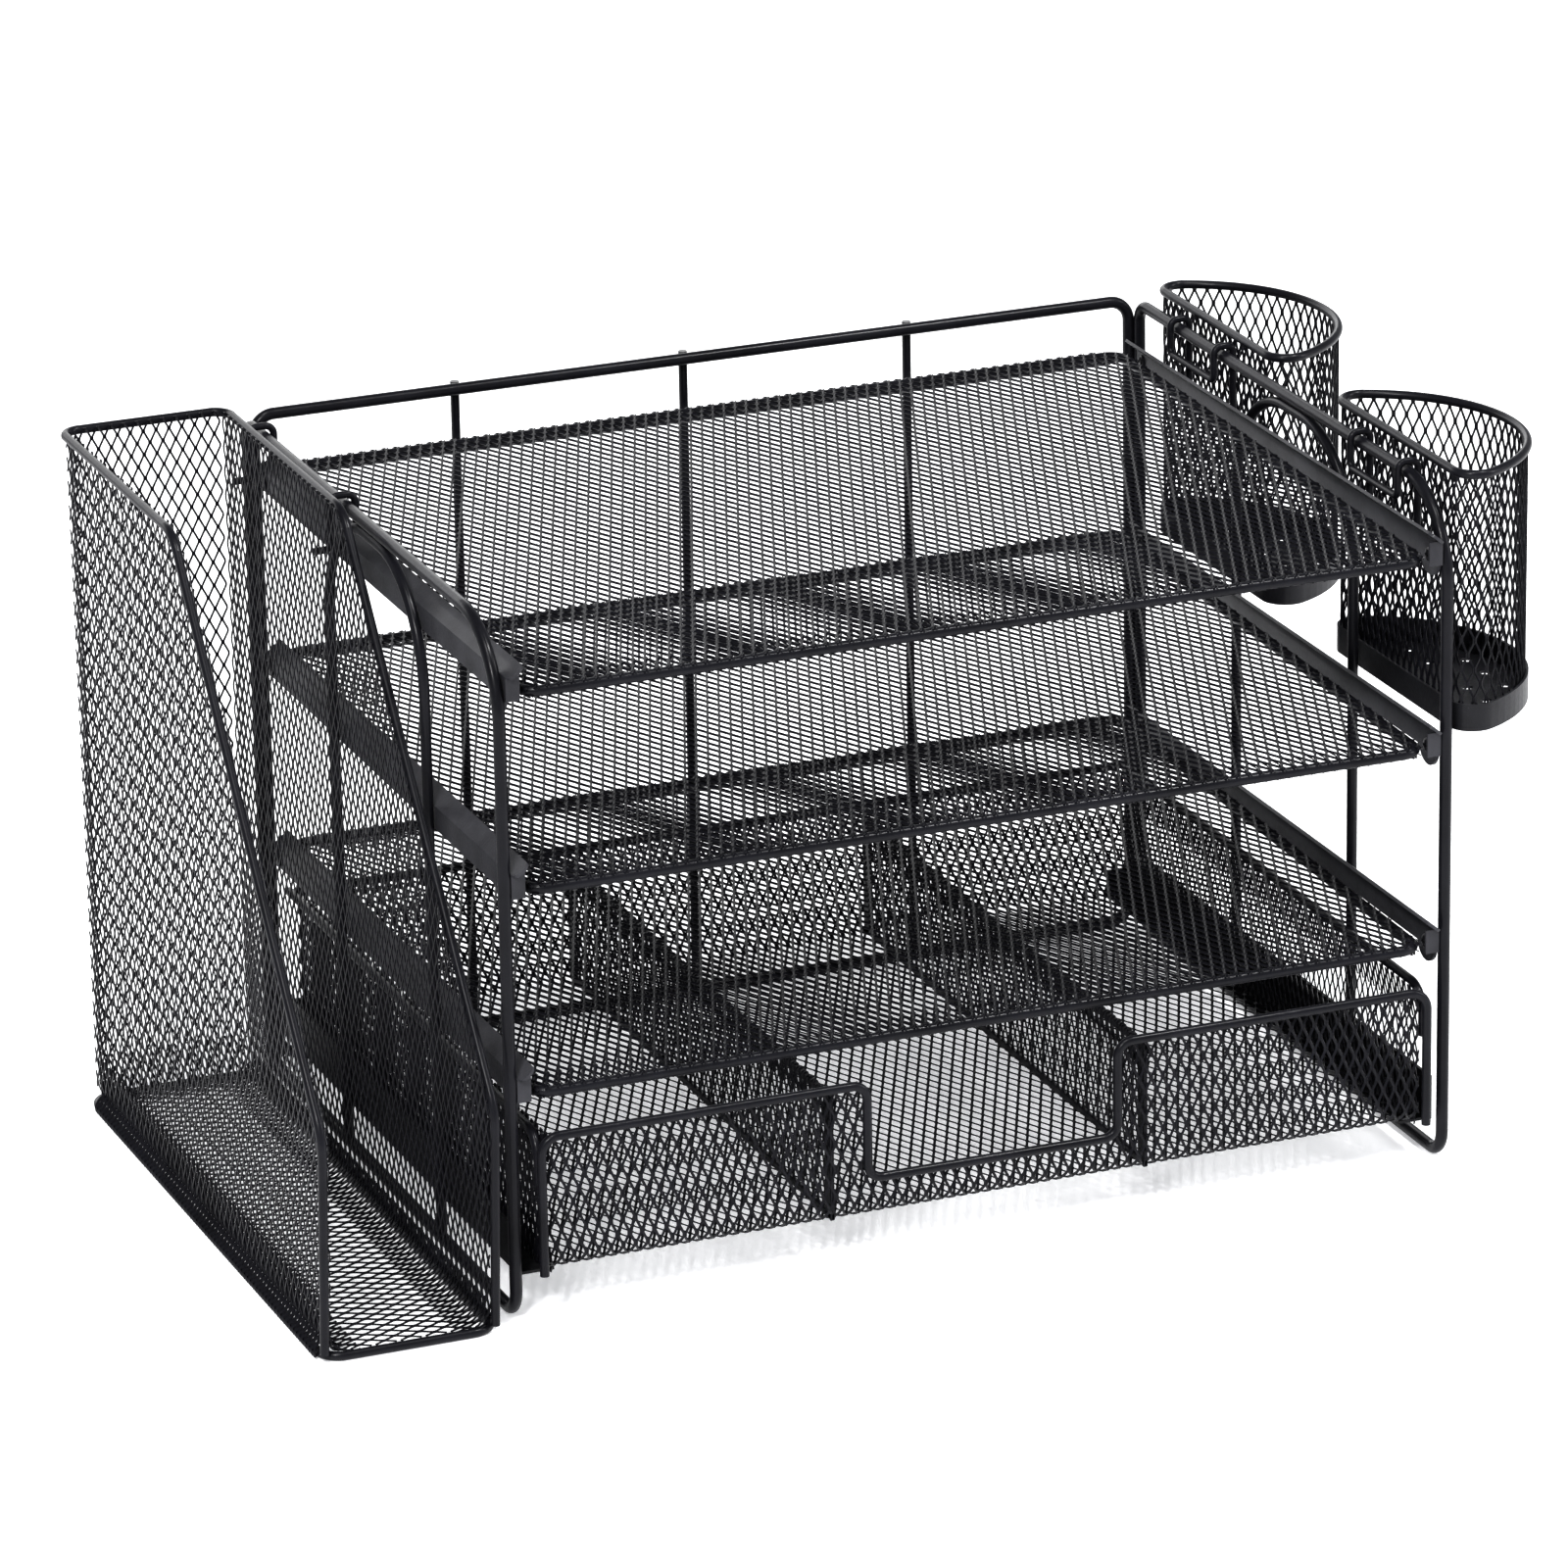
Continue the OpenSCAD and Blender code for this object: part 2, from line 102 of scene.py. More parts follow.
def coat(name, base, rough, grain=GRAIN):
    """Powder-coated steel: a fine orange-peel skin, a slightly uneven black,
    dust specks and a roughness that wanders a little."""
    m = bpy.data.materials.new(name)
    m.use_nodes = True
    nt = m.node_tree
    n, link = nt.nodes, nt.links
    n.clear()
    out = n.new("ShaderNodeOutputMaterial")
    bsdf = n.new("ShaderNodeBsdfPrincipled")
    link.new(bsdf.outputs[0], out.inputs[0])
    bsdf.inputs["IOR"].default_value = 1.5
    bsdf.inputs["Specular IOR Level"].default_value = 0.09
    bsdf.inputs["Coat Weight"].default_value = 0.1
    bsdf.inputs["Coat Roughness"].default_value = 0.16
    tc = n.new("ShaderNodeTexCoord")

    def noise(scale, detail, octaves):
        t = n.new("ShaderNodeTexNoise")
        t.inputs["Scale"].default_value = scale
        t.inputs["Detail"].default_value = detail
        t.inputs["Roughness"].default_value = octaves
        link.new(tc.outputs["Object"], t.inputs["Vector"])
        return t

    def ramp(src, a, b, low, high):
        r = n.new("ShaderNodeValToRGB")
        r.color_ramp.elements[0].position = a
        r.color_ramp.elements[1].position = b
        r.color_ramp.elements[0].color = (*low, 1)
        r.color_ramp.elements[1].color = (*high, 1)
        link.new(src, r.inputs[0])
        return r

    broad = noise(38, 3, 0.6)
    fine = noise(900, 2, 0.5)
    speck = noise(2600, 2, 0.6)
    dark = tuple(c * DARK_TONE for c in base)
    pale = tuple(c * PALE_TONE for c in base)
    tone = ramp(broad.outputs[0], 0.3, 0.72, dark, pale)
    dust = ramp(speck.outputs[0], 0.62, 0.8, (0, 0, 0), (DUST,) * 3)
    mix = n.new("ShaderNodeMix")
    mix.data_type = "RGBA"
    link.new(dust.outputs[0], mix.inputs[0])
    link.new(tone.outputs[0], mix.inputs[6])
    mix.inputs[7].default_value = (*[min(1, c * 3 + 0.004) for c in base], 1)
    link.new(mix.outputs[2], bsdf.inputs["Base Color"])
    wander = n.new("ShaderNodeMapRange")
    wander.inputs["To Min"].default_value = rough - ROUGH_BELOW
    wander.inputs["To Max"].default_value = rough + ROUGH_ABOVE
    link.new(fine.outputs[0], wander.inputs["Value"])
    link.new(wander.outputs[0], bsdf.inputs["Roughness"])
    bump = n.new("ShaderNodeBump")
    bump.inputs["Strength"].default_value = 0.35
    bump.inputs["Distance"].default_value = grain
    link.new(fine.outputs[0], bump.inputs["Height"])
    link.new(bump.outputs[0], bsdf.inputs["Normal"])
    return m


BLACK = (0.007, 0.007, 0.009)
MESH_BLACK = (0.006, 0.006, 0.008)
MAT = {
    "frame_wire": coat("frame_wire_coat", BLACK, 0.36),
    "tray_wire": coat("tray_wire_coat", BLACK, 0.36),
    "tray_mesh": coat("tray_mesh_coat", MESH_BLACK, 0.42, FINE_GRAIN),
    "tray_rail": coat("tray_rail_coat", (0.03, 0.03, 0.034), 0.5),
    "rivet": coat("rivet_coat", (0.012, 0.012, 0.014), 0.3),
    "drawer_guide": coat("drawer_guide_coat", (0.009, 0.009, 0.010), 0.55),
    "drawer_wire": coat("drawer_wire_coat", BLACK, 0.36),
    "drawer_mesh": coat("drawer_mesh_coat", MESH_BLACK, 0.42, FINE_GRAIN),
    "holder_wire": coat("holder_wire_coat", BLACK, 0.38),
    "holder_mesh": coat("holder_mesh_coat", MESH_BLACK, 0.42, FINE_GRAIN),
    "cup_wire": coat("cup_wire_coat", BLACK, 0.36),
    "cup_mesh": coat("cup_mesh_coat", MESH_BLACK, 0.42, FINE_GRAIN),
    "cup_pan": coat("cup_pan_coat", (0.013, 0.013, 0.015), 0.42),
}

slots = {s["node"]: s["material_slot"] for s in frame["record"]["subparts"]}
for node, o in frame["nodes"].items():
    o.data.materials.clear()
    o.data.materials.append(MAT[slots[node]])

# ---------------------------------------------------------------- sheets


def left(h):
    """The heading h turned a quarter to the left."""
    return np.array([-h[1], h[0]])


def rounded(points, radii, step=30.0):
    """Points and headings along a flat path with rounded corners. step: the
    largest turn in degrees between two of its points."""
    p = [np.array(q, float) for q in points]
    out = []
    for i, q in enumerate(p):
        if i in (0, len(p) - 1):
            d = p[1] - p[0] if i == 0 else p[-1] - p[-2]
            out.append((q, d / np.linalg.norm(d)))
            continue
        a = (q - p[i - 1]) / np.linalg.norm(q - p[i - 1])
        b = (p[i + 1] - q) / np.linalg.norm(p[i + 1] - q)
        turn = math.atan2(a[0] * b[1] - a[1] * b[0], float(a @ b))
        sign, r = (1 if turn > 0 else -1), radii[i]
        c = q - a * r * math.tan(abs(turn) / 2) + sign * left(a) * r
        k = max(1, math.ceil(math.degrees(abs(turn)) / step))
        for j in range(k + 1):
            t = turn * j / k
            h = np.array([a[0] * math.cos(t) - a[1] * math.sin(t),
                          a[0] * math.sin(t) + a[1] * math.cos(t)])
            out.append((c - sign * left(h) * r, h))
    return np.array([o[0] for o in out]), np.array([o[1] for o in out])


class Sheet:
    """A sheet drawn along a flat path (s) and straight across it (u). The path
    lies in the plane of the axes a and b."""

    def __init__(self, path, a, b, u, origin=(0, 0, 0), flip=1):
        self.p, self.h = path
        seg = np.linalg.norm(np.diff(self.p, axis=0), axis=1)
        self.s = np.concatenate([[0], np.cumsum(seg)])
        self.a, self.b, self.u = (np.array(v, float) for v in (a, b, u))
        self.o = np.array(origin, float)
        self.flip = flip
        self.length = self.s[-1]

    def near(self, point):
        """The distance along the path of the vertex nearest to a point."""
        return self.s[np.argmin(np.linalg.norm(self.p - np.array(point), axis=1))]

    def place(self, u, s):
        """Positions, normals and path directions at points of the sheet."""
        s = np.clip(s, 0, self.length)
        x, y = np.interp(s, self.s, self.p[:, 0]), np.interp(s, self.s, self.p[:, 1])
        hx, hy = np.interp(s, self.s, self.h[:, 0]), np.interp(s, self.s, self.h[:, 1])
        k = np.hypot(hx, hy)
        hx, hy = hx / k, hy / k
        pos = self.o + np.outer(u, self.u) + np.outer(x, self.a) + np.outer(y, self.b)
        tan = np.outer(hx, self.a) + np.outer(hy, self.b)
        nor = (np.outer(-hy, self.a) + np.outer(hx, self.b)) * self.flip
        return pos, nor, tan


def inside(q, edges):
    """Whether each point of q lies in the region with these edges."""
    hit = np.zeros(len(q), int)
    for (x0, y0), (x1, y1) in edges:
        up = (y0 > q[:, 1]) != (y1 > q[:, 1])
        if y1 != y0:
            hit += up & (q[:, 0] < (x1 - x0) * (q[:, 1] - y0) / (y1 - y0) + x0)
    return hit % 2 == 1


SHORTEST = 0.5  # a strand's shorter leftovers are dropped


def strands(region, pitch, bond, side, along_s, breaks, phase):
    """The zigzag strands of an expanded sheet, cut to a region of (u, s).
    Neighbouring zigzags touch at the bonds. side: how far each keeps from the
    bond's middle. along_s: the diamonds' long way runs along the path, or else
    across it. breaks: places along the path where a strand gets a corner."""
    pts = [np.array(r, float) for r in region]
    if not along_s:
        pts = [r[:, ::-1] for r in pts]
    edges = [(r[i], r[(i + 1) % len(r)]) for r in pts for i in range(len(r))]
    lo = np.min([r.min(0) for r in pts], axis=0)
    hi = np.max([r.max(0) for r in pts], axis=0)
    px, py = pitch
    k0, k1 = math.floor((lo[0] - phase[0]) / px) - 1, math.ceil((hi[0] - phase[0]) / px) + 1
    j0, j1 = math.floor((lo[1] - phase[1]) / py) - 1, math.ceil((hi[1] - phase[1]) / py) + 2
    j = np.arange(j0, j1)
    runs = []
    for k in range(k0, k1):
        near = (k + j) % 2 == 0
        x = phase[0] + np.where(near, k * px + side, (k + 1) * px - side)
        y = phase[1] + j * py
        line = np.stack([np.repeat(x, 2), np.stack([y - bond, y + bond], 1).ravel()], 1)
        p, d = line[:-1], np.diff(line, axis=0)
        cuts = {}
        for e0, e1 in edges:
            f = e1 - e0
            den = d[:, 0] * f[1] - d[:, 1] * f[0]
            with np.errstate(divide="ignore", invalid="ignore"):
                t = ((e0[0] - p[:, 0]) * f[1] - (e0[1] - p[:, 1]) * f[0]) / den
                w = ((e0[0] - p[:, 0]) * d[:, 1] - (e0[1] - p[:, 1]) * d[:, 0]) / den
            for i in np.nonzero((t > 0) & (t < 1) & (w >= 0) & (w <= 1))[0]:
                cuts.setdefault(int(i), []).append(float(t[i]))
        axis = 1 if along_s else 0
        for b in breaks:
            with np.errstate(divide="ignore", invalid="ignore"):
                t = (b - p[:, axis]) / d[:, axis]
            for i in np.nonzero((t > 0) & (t < 1))[0]:
                cuts.setdefault(int(i), []).append(float(t[i]))
        state = inside(p + d / 2, edges)
        run = []

        def close():
            if len(run) > 1:
                q = np.array(run)
                if np.linalg.norm(np.diff(q, axis=0), axis=1).sum() > SHORTEST:
                    runs.append(q)
            run.clear()

        for i in range(len(p)):
            if i not in cuts:
                if state[i]:
                    if not run:
                        run.append(p[i])
                    run.append(p[i] + d[i])
                else:
                    close()
                continue
            ts = [0.0] + sorted(cuts[i]) + [1.0]
            for t0, t1 in zip(ts, ts[1:]):
                if t1 - t0 < 1e-6:
                    continue
                if inside((p[i] + d[i] * (t0 + t1) / 2)[None], edges)[0]:
                    if not run:
                        run.append(p[i] + d[i] * t0)
                    run.append(p[i] + d[i] * t1)
                else:
                    close()
        close()
    if not along_s:
        runs = [r[:, ::-1] for r in runs]
    return runs


def unit(v):
    return v / np.linalg.norm(v, axis=-1, keepdims=True)


class Build:
    """Collects strips of geometry for one piece."""

    def __init__(self):
        self.v, self.f, self.n = [], [], 0

    def add(self, verts, faces):
        self.v.append(np.asarray(verts, float))
        self.f += [tuple(i + self.n for i in f) for f in faces]
        self.n += len(verts)

    def tube(self, rings):
        """Joins rings of corners into a closed strip. rings: (N, K, 3)."""
        n, k = rings.shape[:2]
        f = [tuple(range(k))[::-1], tuple((n - 1) * k + i for i in range(k))]
        for i in range(n - 1):
            for c in range(k):
                e = (c + 1) % k
                f.append((i * k + c, i * k + e, (i + 1) * k + e, (i + 1) * k + c))
        self.add(rings.reshape(-1, 3), f)

    def mesh_sheet(self, sheet, region, along_s=True, pitch=(2.05, 4.45), size=(0.86, 0.46),
                   tilt=0.6, off=0.0, phase=(0.0, 0.0), bond=0.75, side=0.3, skew=0.0):
        """Expanded metal over a region of a sheet, as tilted flat strands. off:
        distance from the sheet. skew: how far the diamonds lean, per mm."""
        flat = [[(u + skew * q, q) for u, q in piece] for piece in region]
        for r in strands(flat, pitch, bond, side, along_s, sheet.s, phase):
            r[:, 0] -= skew * r[:, 1]
            pos, nor, tan = sheet.place(r[:, 0], r[:, 1])
            pos = pos + nor * off
            d = unit(np.diff(pos, axis=0))
            if not np.isfinite(d).all():
                continue
            if len(d) > 1:
                t = np.vstack([d[:1], unit(d[1:] + d[:-1]), d[-1:]])
            else:
                t = np.vstack([d, d])
            short = np.broadcast_to(sheet.u, nor.shape) if along_s else tan
            m = nor + tilt * short
            m = unit(m - (m * t).sum(1, keepdims=True) * t)
            w = np.cross(t, m)
            a, b = w * size[0] / 2, m * size[1] / 2
            self.tube(np.stack([pos - a - b, pos + a - b, pos + a + b, pos - a + b], 1))

    def bar(self, mid, size, edge=0.45):
        """A straight bar with rounded long edges, along its longest side."""
        mid, half = np.array(mid, float), np.array(size, float) / 2
        n = int(np.argmax(half))
        i, j = [q for q in range(3) if q != n]
        r = min(edge, half[i] * 0.9, half[j] * 0.9)
        ring = []
        for si, sj, t0 in ((1, 1, 0), (-1, 1, 90), (-1, -1, 180), (1, -1, 270)):
            for t in (0, 45, 90):
                q = np.zeros(3)
                q[i] = si * (half[i] - r) + r * math.cos(math.radians(t0 + t))
                q[j] = sj * (half[j] - r) + r * math.sin(math.radians(t0 + t))
                ring.append(q)
        ring = np.array(ring)
        ends = []
        for d, k in ((-1, 0.8), (-0.99, 1), (0.99, 1), (1, 0.8)):
            e = ring * k
            e[:, n] = d * half[n] if abs(d) == 1 else math.copysign(half[n] - 0.3, d)
            ends.append(e + mid)
        self.tube(np.array(ends))

    def make(self, name, slot, body, replaces=()):
        """Turns the strips into a piece that rides on a body."""
        me = bpy.data.meshes.new(name)
        v = (np.concatenate(self.v) + SHIFT) * MM
        me.from_pydata(v.tolist(), [], self.f)
        me.update()
        me.materials.append(MAT[slot])
        o = bpy.data.objects.new(name, me)
        bpy.context.scene.collection.objects.link(o)
        if replaces:
            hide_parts(*replaces)
        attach(o, body)


# ---------------------------------------------------------------- trays
TRAY_WIRE_R = 1.75
CUT = 8.0  # how much the rounded back corners take off

for level in LEVELS:
    lo, hi = box(f"tray_{level}_rim")
    r = TRAY_WIRE_R
    y0, y1 = lo[1] + r, hi[1] - r
    z0, z1 = lo[2] + r, hi[2] - r
    length = math.hypot(y1 - y0, z1 - z0)
    cy, cz = (y1 - y0) / length, (z1 - z0) / length
    # The sheet goes round the front and back wires at a distance w.
    w = r + 0.12
    path = rounded(
        [(12.5, 0.9), (-w, -w), (-w, w), (length + w, w), (length + w, -w), (length - 11, 1.0)],
        [0, w * 0.97, w * 0.97, w * 0.97, w * 0.97, 0])
    s = Sheet(path, (0, cy, cz), (0, -cz, cy), X, (0, y0, z0), flip=-1)
    half = box(f"tray_{level}_mesh")[1][0]
    back = s.near((length, w))
    end = s.length
    # The strip between bare and front is left out, so that the wire shows.
    bare = s.near((-w, -w)) - 0.3
    front = s.near((-w, w)) - 0.4
    region = [[(-half, 0), (half, 0), (half, bare), (-half, bare)],
              [(-half, front), (half, front), (half, back - CUT),
               (half - CUT * 0.12, back - CUT * 0.62), (half - CUT * 0.38, back - CUT * 0.3),
               (half - CUT, back), (half - CUT, end), (-half + CUT, end), (-half + CUT, back),
               (-half + CUT * 0.38, back - CUT * 0.3), (-half + CUT * 0.12, back - CUT * 0.62),
               (-half, back - CUT)]]
    b = Build()
    b.mesh_sheet(s, region, phase=(0.4, 1.0), **TRAY_MESH)
    b.make(f"tray_{level}_mesh_sheet", "tray_mesh", "frame", (f"tray_{level}_mesh",))

# ---------------------------------------------------------------- screws


RECESS_HALF, RECESS_REACH, RECESS_DEPTH = 0.42, 1.75, 0.9


def screw(b, at, side, r=3.3, h=1.5, n=48):
    """A domed screw head with a cross recess, facing +X or -X."""
    rings = np.linspace(0, r, 17)[1:]
    ang = np.arange(n) * 2 * math.pi / n
    v, f = [(at[0] + side * (h - RECESS_DEPTH), at[1], at[2])], []
    for q in rings:
        for t in ang:
            y, z = q * math.cos(t), q * math.sin(t)
            up = h * math.sqrt(max(0.0, 1 - (q / (r * 1.08)) ** 2))
            if min(abs(y), abs(z)) < RECESS_HALF and max(abs(y), abs(z)) < RECESS_REACH:
                up -= RECESS_DEPTH
            v.append((at[0] + side * up, at[1] + y, at[2] + z))
    foot = len(v)
    v += [(at[0], at[1] + r * math.cos(t), at[2] + r * math.sin(t)) for t in ang]
    f += [(0, 1 + i, 1 + (i + 1) % n) for i in range(n)]
    for k in range(len(rings)):
        a, c = 1 + k * n, (1 + (k + 1) * n if k + 1 < len(rings) else foot)
        f += [(a + i, c + i, c + (i + 1) % n, a + (i + 1) % n) for i in range(n)]
    f.append(tuple(foot + i for i in range(n))[::-1])
    b.add(v, f if side > 0 else [q[::-1] for q in f])


for side, k in SIDES:
    b = Build()
    g_lo, g_hi = box(f"side_frame_{side}")
    for level in LEVELS:
        lo, hi = box(f"tray_{level}_rail_{side}")
        outer = hi[0] if k > 0 else lo[0]
        for y, z in ((g_lo[1] + 8.7, hi[2] - 10.5), (g_hi[1] - 11.0, hi[2] - 7.5)):
            screw(b, (outer, y, z), k)
            screw(b, (outer - k * 1.0, y, z), -k, 2.4, 1.1, 32)
    b.make(f"tray_screws_{side}", "rivet", "frame", (f"tray_rivets_{side}",))

# ---------------------------------------------------------------- drawer
DIP_HALF = 43.0  # half the width of the finger dip
DIP_DEPTH = 32.0

f_lo, f_hi = box("drawer_front")
fl_lo = box("drawer_floor")[0]
bk_lo, bk_hi = box("drawer_back")
sd_lo, sd_hi = box("drawer_side_right")
yf = (f_lo[1] + f_hi[1]) / 2
yb = (bk_lo[1] + bk_hi[1]) / 2
zf = fl_lo[2] + 0.4
zr = f_hi[2]
hw = sd_lo[0] - 0.1
# One sheet: down the front, back along the floor and up the back.
path = rounded([(yf, zr + 0.6), (yf, zf), (yb, zf), (yb, zr - 0.4)], [0, 6.5, 4, 0], 18)
s = Sheet(path, Y, Z, X)
dip = DIP_HALF
dip_z = zr - DIP_DEPTH
dip_s = zr + 0.6 - dip_z
region = [[(-hw, 0), (-dip, 0), (-dip, dip_s - 4), (-dip + 1.2, dip_s - 1.2), (-dip + 4, dip_s),
           (dip - 4, dip_s), (dip - 1.2, dip_s - 1.2), (dip, dip_s - 4), (dip, 0), (hw, 0),
           (hw, s.length), (-hw, s.length)]]
b = Build()
b.mesh_sheet(s, region, phase=(0.2, 2.0), **DRAWER_PAN_MESH)
b.make("drawer_front_floor_back_sheet", "drawer_mesh", "drawer",
       ("drawer_front", "drawer_floor", "drawer_back"))

for side, k in SIDES:
    x = k * (sd_lo[0] + sd_hi[0]) / 2
    y0, y1 = sd_lo[1] + 0.3, sd_hi[1] - 0.3
    zb, zt = sd_lo[2] + 0.3, sd_hi[2] - 0.3
    # The path runs along Z, and the sheet is straight along Y.
    s = Sheet(rounded([(zb, 0), (zt, 0)], [0, 0]), Z, (-k, 0, 0), Y, (x, 0, 0))
    b = Build()
    b.mesh_sheet(s, [[(y0, 0), (y1, 0), (y1, s.length), (y0, s.length)]], phase=(0.6, 1.2))
    # Hems along the top and the bottom.
    for a0, a1, shift in ((s.length - 9, s.length + 0.2, 3.9 * 1.1), (0, 8, 3.9 * 0.7)):
        b.mesh_sheet(s, [[(y0, a0), (y1, a0), (y1, a1), (y0, a1)]], off=1.0, phase=(1.5, shift))
    b.make(f"drawer_side_{side}_sheet", "drawer_mesh", "drawer", (f"drawer_side_{side}",))

    d_lo, d_hi = box(f"drawer_divider_{side}")
    x = (d_lo[0] + d_hi[0]) / 2
    zb, zt = d_lo[2], d_hi[2]
    y0, y1 = d_lo[1] + 0.3, d_hi[1] - 0.3
    h = 0.8  # half the thickness at the top, where the sheet folds over
    path = rounded([(zt - 10, 1.1), (zt + 0.2, h), (zt + 0.2, -h), (zb, -0.2)],
                   [0, h * 0.95, h * 0.95, 0])
    s = Sheet(path, Z, X, Y, (x, 0, 0))
    b = Build()
    b.mesh_sheet(s, [[(y0, 0), (y1, 0), (y1, s.length), (y0, s.length)]], phase=(0.1, 0.5))
    # Solid folded strips at both ends, the top and the bottom.
    for y in (y0 + 2.6, y1 - 2.6):
        b.bar((x, y, (zb + zt) / 2), (1.5, 5.2, zt - zb - 1.0))
    b.bar((x, (y0 + y1) / 2, zt - 1.2), (1.9, y1 - y0, 2.6))
    b.bar((x, (y0 + y1) / 2, zb + 1.5), (1.5, y1 - y0, 2.6))
    b.make(f"drawer_divider_{side}_sheet", "drawer_mesh", "drawer", (f"drawer_divider_{side}",))

# ---------------------------------------------------------------- file holder
BEND = 5.0  # radius between the floor and the sides
FRONT_TOP = 116.0  # from the back to the front end of the top wire
LIP_Z = 76.0  # height where the slope meets the front wire

hl_lo, hl_hi = box("holder_side_left")
hr_lo, hr_hi = box("holder_side_right")
hb_lo, hb_hi = box("holder_back")
hf_lo = box("holder_floor")[0]
rim_lo = box("holder_rim")[0]
ft_lo, ft_hi = box("holder_foot")
xl, xr = (hl_lo[0] + hl_hi[0]) / 2, (hr_lo[0] + hr_hi[0]) / 2
zf = hf_lo[2] + 0.4
zt = hl_hi[2]
yb = hb_lo[1] - 0.1
yt = yb + 1.5 - FRONT_TOP
y_lip = rim_lo[1] + 1.5
y_foot = hf_lo[1] + 0.3
# One sheet: down the left side, across the floor and up the right side.
path = rounded([(xl, zt), (xl, zf), (xr, zf), (xr, zt)], [0, BEND, BEND, 0], 18)
s = Sheet(path, X, Z, Y)
up = s.length
high = zt - zf
drop = 2 * BEND - BEND * math.pi / 2  # what a bend takes off the path's length


def on_left(y, z):
    """A point of the left side, on the sheet."""
    return (y, zt - z)


def on_right(y, z):
    """A point of the right side, on the sheet."""
    return (y, up - (zt - z))


slope = [(yb, zt), (yt + 3, zt), (yt - 7, zt - 8), (y_lip + 1.8, LIP_Z + 5.5),
         (y_lip - 0.3, LIP_Z - 5)]
region = [[on_left(*q) for q in slope]
          + [(y_foot, high - drop / 2), (y_foot, up - high + drop / 2)]
          + [on_right(*q) for q in slope[::-1]]]
b = Build()
b.mesh_sheet(s, region, phase=(0.5, 1.0), **HOLDER_SIDE_MESH)
b.make("file_holder_side_sheet", "holder_mesh", "file_holder",
       ("holder_side_left", "holder_side_right", "holder_floor"))

b = Build()
# Hems along both bottom edges, and along the back edge.
for a0, a1 in ((high - 15, high + 8), (up - high - 8, up - high + 15)):
    b.mesh_sheet(s, [[(y_foot, a0), (yb, a0), (yb, a1), (y_foot, a1)]], off=-1.0,
                 phase=(1.4, 3.6), **HOLDER_SIDE_MESH)
b.mesh_sheet(s, [[(yb - 9, 0), (yb, 0), (yb, up), (yb - 9, up)]], off=-1.0,
             phase=(1.4, 3.1), **HOLDER_SIDE_MESH)
# Strips from the sides down round the foot wire.
for x, foot, k in ((xl, ft_lo[0] + 1.5, -1), (xr, ft_hi[0] - 1.5, 1)):
    path = rounded([(x, 11.0), (x, 6.5), (foot + k * 1.7, 2.2), (foot + k * 1.2, 0.4)],
                   [0, 3.0, 0.4, 0])
    wrap = Sheet(path, X, Z, Y, flip=-k)
    y0, y1 = y_foot + 4, yb - 6
    b.mesh_sheet(wrap, [[(y0, 0), (y1, 0), (y1, wrap.length), (y0, wrap.length)]],
                 off=-0.3, phase=(0.5, 2.2), **HOLDER_FOOT_MESH)
b.make("file_holder_hem_sheet", "holder_mesh", "file_holder")

x0, x1 = hb_lo[0] + 0.2, hb_hi[0] - 0.2
yc = (hb_lo[1] + hb_hi[1]) / 2
s = Sheet(rounded([(zf, 0), (zt, 0)], [0, 0]), Z, (0, -1, 0), X, (0, yc, 0))
b = Build()
b.mesh_sheet(s, [[(x0, 0), (x1, 0), (x1, s.length), (x0, s.length)]], phase=(0.9, 0.4),
             **HOLDER_BACK_MESH)
b.mesh_sheet(s, [[(x0, 0), (x1, 0), (x1, 14), (x0, 14)]], off=1.0, phase=(1.7, 2.4),
             **HOLDER_BACK_MESH)
b.make("file_holder_back_sheet", "holder_mesh", "file_holder", ("holder_back",))

# ---------------------------------------------------------------- cups


def cup_path(lo, hi, corner=7.0, n=10):
    """A closed D: flat side at low X, round side at high X, seen from above.
    lo and hi are the corners of the rim wire's box."""
    x_flat, x_far = lo[0] + 1.5, hi[0] - 1.5
    yc = (lo[1] + hi[1]) / 2
    half = (hi[1] - lo[1]) / 2 - 1.5
    # The round side's radius and centre, so that the tight bends meet both.
    best = None
    for back in np.arange(2.0, 24.0, 0.01):
        R = x_far - x_flat + back
        cosa = (back + corner) / (R - corner)
        if not 0 < cosa < 1:
            continue
        flat = (R - corner) * math.sqrt(1 - cosa ** 2)
        err = abs(flat + corner - half)
        if best is None or err < best[0]:
            best = (err, R, back, math.acos(cosa), flat)
    _, R, back, a, flat = best
    pts = []

    def arc(cx, cy, r, t0, t1, k):
        for t in np.linspace(t0, t1, k + 1)[:-1]:
            pts.append(((cx + r * math.cos(t), cy + r * math.sin(t)), (-math.sin(t), math.cos(t))))

    c = x_flat + corner
    pts.append(((x_flat, yc + flat), (0, -1)))
    arc(c, yc - flat, corner, math.pi, 2 * math.pi - a, n)
    arc(x_flat - back, yc, R, -a, a, 4 * n)
    arc(c, yc + flat, corner, a, math.pi, n)
    pts.append(pts[0])
    return np.array([q[0] for q in pts]), np.array([q[1] for q in pts])


for name in ("rear", "front"):
    w_lo, w_hi = box(f"{name}_cup_wall")
    s = Sheet(cup_path(*box(f"{name}_cup_rim")), X, Y, Z, flip=-1)
    # The pitch is stretched a little, so that the pattern closes round the cup.
    n = round(s.length / (2 * CUP_PITCH[0]))
    b = Build()
    b.mesh_sheet(s, [[(w_lo[2], 0), (w_hi[2], 0), (w_hi[2], s.length), (w_lo[2], s.length)]],
                 along_s=False, pitch=(s.length / (2 * n), CUP_PITCH[1]),
                 phase=(0.0, w_hi[2]), **CUP_MESH)
    b.make(f"{name}_cup_mesh_wall", "cup_mesh", f"{name}_cup", (f"{name}_cup_wall",))

